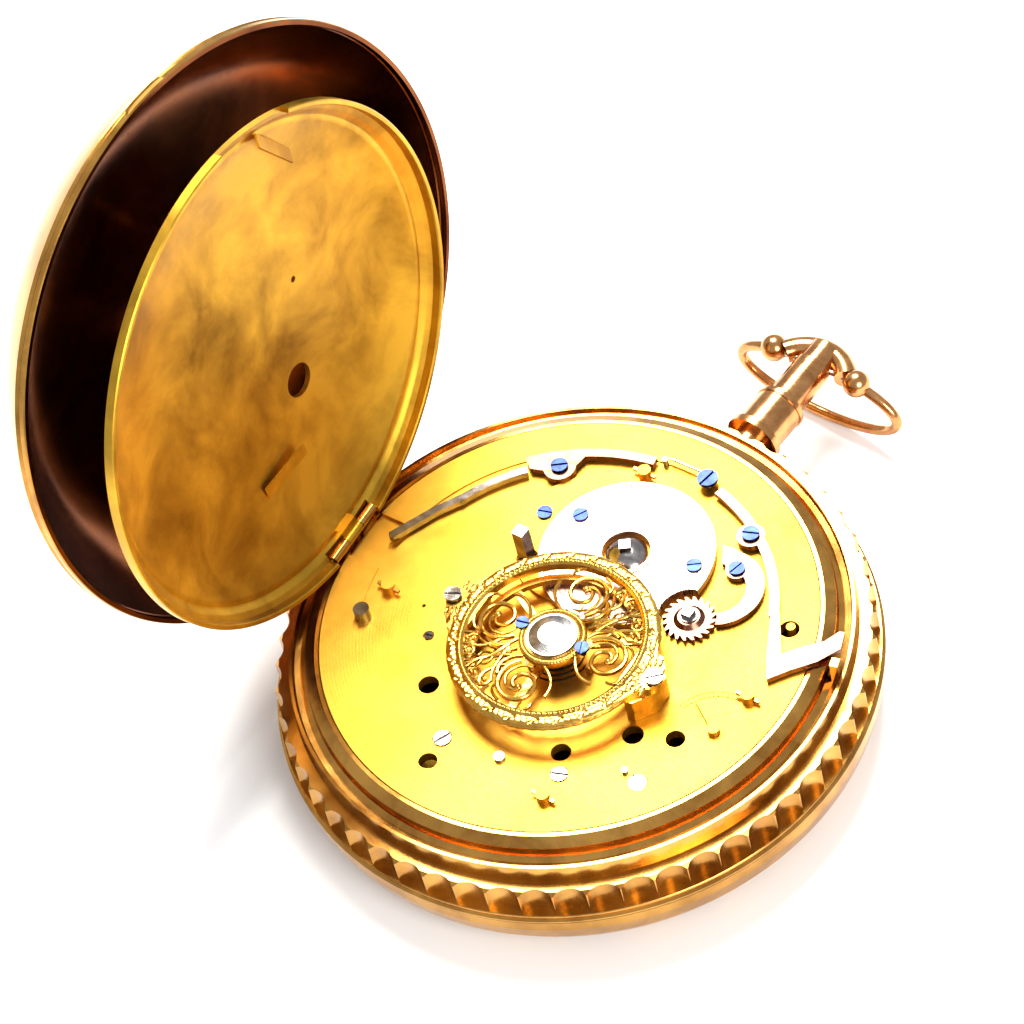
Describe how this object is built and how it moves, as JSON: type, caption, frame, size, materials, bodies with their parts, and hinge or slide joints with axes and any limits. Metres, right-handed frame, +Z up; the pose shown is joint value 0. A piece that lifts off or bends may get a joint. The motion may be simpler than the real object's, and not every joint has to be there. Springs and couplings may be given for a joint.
{
  "type": "open face pocket watch",
  "caption": "Verge pocket watch shown from the back with its back cover and dust cover swung open, fluted case, long push pendant with hanging oval bow, pierced balance cock.",
  "frame": {"origin": "point under the watch's axis, on the plane the front bezel's foot and glass stand on", "axes": "+Z up through the movement (towards the back of the watch), +Y towards the pendant, -X towards the back cover's hinge"},
  "size_m": [0.0672, 0.0685, 0.0634],
  "materials": {
    "case_gold": "polished gilt case metal",
    "rose_gold": "polished rose coloured pendant metal",
    "gilt_plate": "frosted gilt brass",
    "bright_brass": "polished brass",
    "silvered": "matt silvered brass",
    "steel": "polished hardened steel",
    "warm_steel": "polished steel, warm brown tarnish",
    "blued_steel": "heat blued steel",
    "enamel": "white fired enamel",
    "glass": "clear watch glass",
    "ruby": "red jewel"
  },
  "bodies": {
    "case": {"arm_screws": "blued_steel", "balance_cock": "gilt_plate", "barrel_arbor": "steel", "blued_screws": "blued_steel", "cap_jewel": "ruby", "case_middle": "case_gold", "click_spring": "warm_steel", "cock_screws": "steel", "counter_potence": "gilt_plate", "dial": "enamel", "dial_ring": "bright_brass", "fusee_chain": "steel", "gilt_studs": "gilt_plate", "hammer_spring": "steel", "hinge_pins": "steel", "lock_post": "steel", "mainspring": "steel", "movement_pillars": "gilt_plate", "pendant_collar": "rose_gold", "pillar_pins": "bright_brass", "pillar_plate": "gilt_plate", "plate_screws": "steel", "potence": "gilt_plate", "regulator_base": "gilt_plate", "regulator_disc": "silvered", "setup_ratchet": "warm_steel", "spring_stud": "bright_brass", "steel_cap": "steel", "steel_studs": "steel", "striking_block": "case_gold", "top_plate": "gilt_plate"},
    "back_cover": {"back_cover": "case_gold"},
    "cuvette": {"cuvette": "case_gold", "cuvette_springs": "case_gold"},
    "bezel": {"front_bezel": "case_gold", "watch_glass": "glass"},
    "push_piece": {"push_tube": "rose_gold", "push_head": "rose_gold", "bow_pin": "steel"},
    "bow": {"bow": "rose_gold"},
    "balance": {"balance_wheel": "bright_brass", "verge_staff": "steel", "balance_spring": "blued_steel"},
    "centre": {"centre_wheel": "bright_brass", "cannon_pinion": "steel", "minute_hand": "blued_steel"},
    "hour": {"hour_wheel": "bright_brass", "hour_hand": "blued_steel"},
    "minute": {"minute_wheel": "bright_brass"},
    "fusee": {"fusee_cone": "bright_brass", "great_wheel": "bright_brass", "fusee_arbor": "steel"},
    "barrel": {"mainspring_barrel": "bright_brass"},
    "third": {"third_wheel": "bright_brass"},
    "contrate": {"contrate_wheel": "bright_brass"},
    "crown": {"crown_wheel": "bright_brass"},
    "regulator": {"regulator_arbor": "steel"},
    "left_hammer": {"left_hammer_arm": "warm_steel", "left_hammer_blade": "steel"},
    "right_hammer": {"right_hammer": "warm_steel"}
  },
  "joints": [
    {"name": "back_cover_hinge", "type": "hinge", "parent": "case", "child": "back_cover", "pos_m": [-0.02645, 0, 0.0098], "axis": [0, 1, 0], "range_deg": [0, 96]},
    {"name": "cuvette_hinge", "type": "hinge", "parent": "case", "child": "cuvette", "pos_m": [-0.02253, -0.00177, 0.0129], "axis": [-0.0785, 0.9969, 0], "range_deg": [0, 94]},
    {"name": "bezel_hinge", "type": "hinge", "parent": "case", "child": "bezel", "pos_m": [-0.02762, 0, 0.0056], "axis": [0, 1, 0], "range_deg": [0, 90]},
    {"name": "push_piece_slide", "type": "slide", "parent": "case", "child": "push_piece", "axis": [-0.0384, -0.9993, 0], "range_m": [0, 0.003], "stiffness_N_per_m": 150},
    {"name": "bow_pivot", "type": "hinge", "parent": "push_piece", "child": "bow", "pos_m": [0.00146, 0.03797, 0.0074], "axis": [0.9993, -0.0384, 0], "range_deg": [-60, 200]},
    {"name": "balance_swing", "type": "hinge", "parent": "case", "child": "balance", "pos_m": [0.00185, -0.00395, 0.0136], "axis": [0, 0, 1], "range_deg": [-60, 60], "stiffness_Nm_per_rad": 0.000002, "deforming": ["balance_spring"]},
    {"name": "centre_turn", "type": "hinge", "parent": "case", "child": "centre", "pos_m": [0, 0, 0.008], "axis": [0, 0, 1], "continuous": true},
    {"name": "hour_turn", "type": "hinge", "parent": "case", "child": "hour", "pos_m": [0, 0, 0.003], "axis": [0, 0, 1], "continuous": true},
    {"name": "minute_wheel_turn", "type": "hinge", "parent": "case", "child": "minute", "pos_m": [0.00493, -0.0018, 0.004], "axis": [0, 0, 1], "continuous": true},
    {"name": "fusee_turn", "type": "hinge", "parent": "case", "child": "fusee", "pos_m": [-0.0069, 0.0038, 0.008], "axis": [0, 0, 1], "continuous": true},
    {"name": "barrel_turn", "type": "hinge", "parent": "case", "child": "barrel", "pos_m": [0.0099, 0.00485, 0.008], "axis": [0, 0, 1], "continuous": true},
    {"name": "third_turn", "type": "hinge", "parent": "case", "child": "third", "pos_m": [-0.00505, -0.00353, 0.008], "axis": [0, 0, 1], "continuous": true},
    {"name": "contrate_turn", "type": "hinge", "parent": "case", "child": "contrate", "pos_m": [-0.00475, -0.00847, 0.008], "axis": [0, 0, 1], "continuous": true},
    {"name": "crown_turn", "type": "hinge", "parent": "case", "child": "crown", "pos_m": [0.00185, -0.00395, 0.0086], "axis": [-0.8251, -0.565, 0], "continuous": true},
    {"name": "regulator_turn", "type": "hinge", "parent": "case", "child": "regulator", "pos_m": [0.0011, 0.0081, 0.0135], "axis": [0, 0, 1], "range_deg": [-45, 45]},
    {"name": "left_hammer_pivot", "type": "hinge", "parent": "case", "child": "left_hammer", "pos_m": [-0.01005, 0.01355, 0.0124], "axis": [0, 0, 1], "range_deg": [-2, 2], "stiffness_Nm_per_rad": 0.001},
    {"name": "right_hammer_pivot", "type": "hinge", "parent": "case", "child": "right_hammer", "pos_m": [0.00985, 0.01495, 0.0124], "axis": [0, 0, 1], "range_deg": [-2, 0.5], "stiffness_Nm_per_rad": 0.001}
  ],
  "couplings": [
    {"joint": "cuvette_hinge", "follows": "back_cover_hinge", "ratio": 0.97917},
    {"joint": "centre_turn", "follows": "contrate_turn", "ratio": 0.0125},
    {"joint": "hour_turn", "follows": "contrate_turn", "ratio": 0.0010417},
    {"joint": "minute_wheel_turn", "follows": "contrate_turn", "ratio": -0.0041667},
    {"joint": "fusee_turn", "follows": "contrate_turn", "ratio": -0.0025},
    {"joint": "barrel_turn", "follows": "contrate_turn", "ratio": -0.0021289},
    {"joint": "third_turn", "follows": "contrate_turn", "ratio": -0.125},
    {"joint": "crown_turn", "follows": "contrate_turn", "ratio": 7.5}
  ]
}
